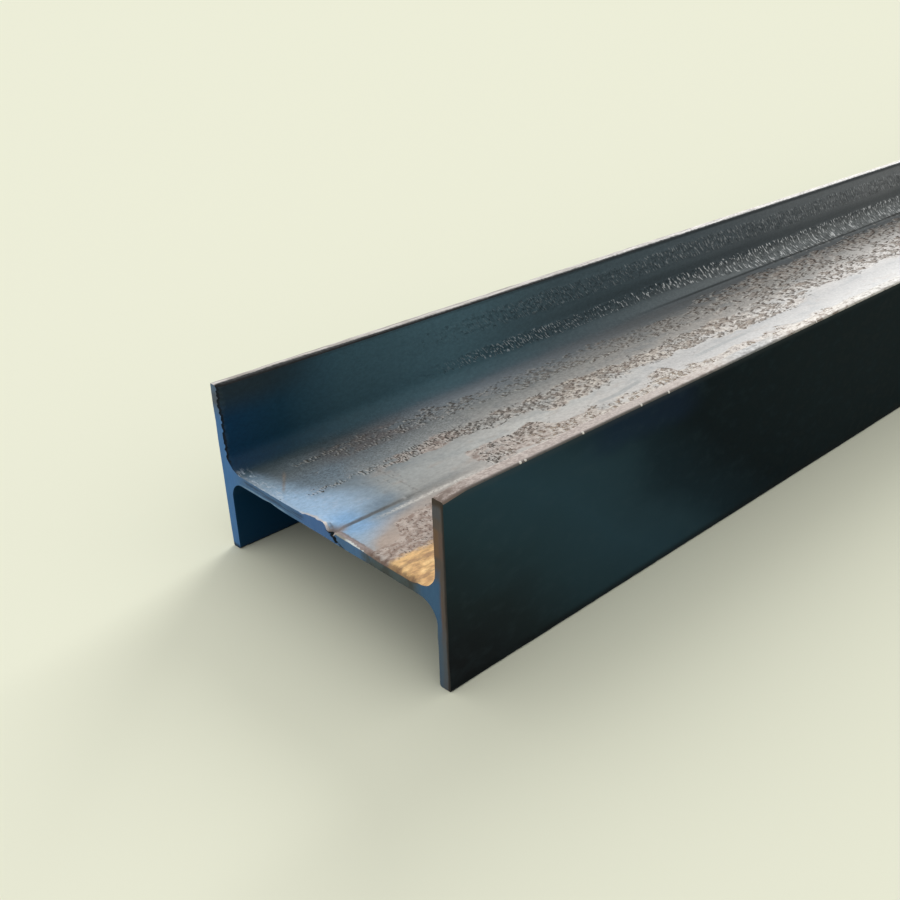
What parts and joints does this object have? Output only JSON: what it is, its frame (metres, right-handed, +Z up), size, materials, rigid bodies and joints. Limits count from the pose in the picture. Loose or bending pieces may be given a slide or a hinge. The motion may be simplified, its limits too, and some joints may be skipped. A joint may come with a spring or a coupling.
{
  "type": "steel i-beam",
  "caption": "Hot-rolled steel I-beam with parallel flanges and filleted roots, lying on its flange tips with the web level; one end is rough-cut with a nick and a raised lip.",
  "frame": {"origin": "on the floor, under the middle of the beam's box as it lies on its flange tips", "axes": "+Y along the beam, away from the rough-cut end; +X across the beam's depth, from flange to flange; +Z up, at right angles to the level web"},
  "size_m": [0.117, 2, 0.064],
  "materials": {
    "mill_steel": "bare hot-rolled steel with dark mill scale, light brown rust pitting and a blue-grey cut end"
  },
  "bodies": {
    "root": {"i_beam": "mill_steel"}
  },
  "joints": []
}
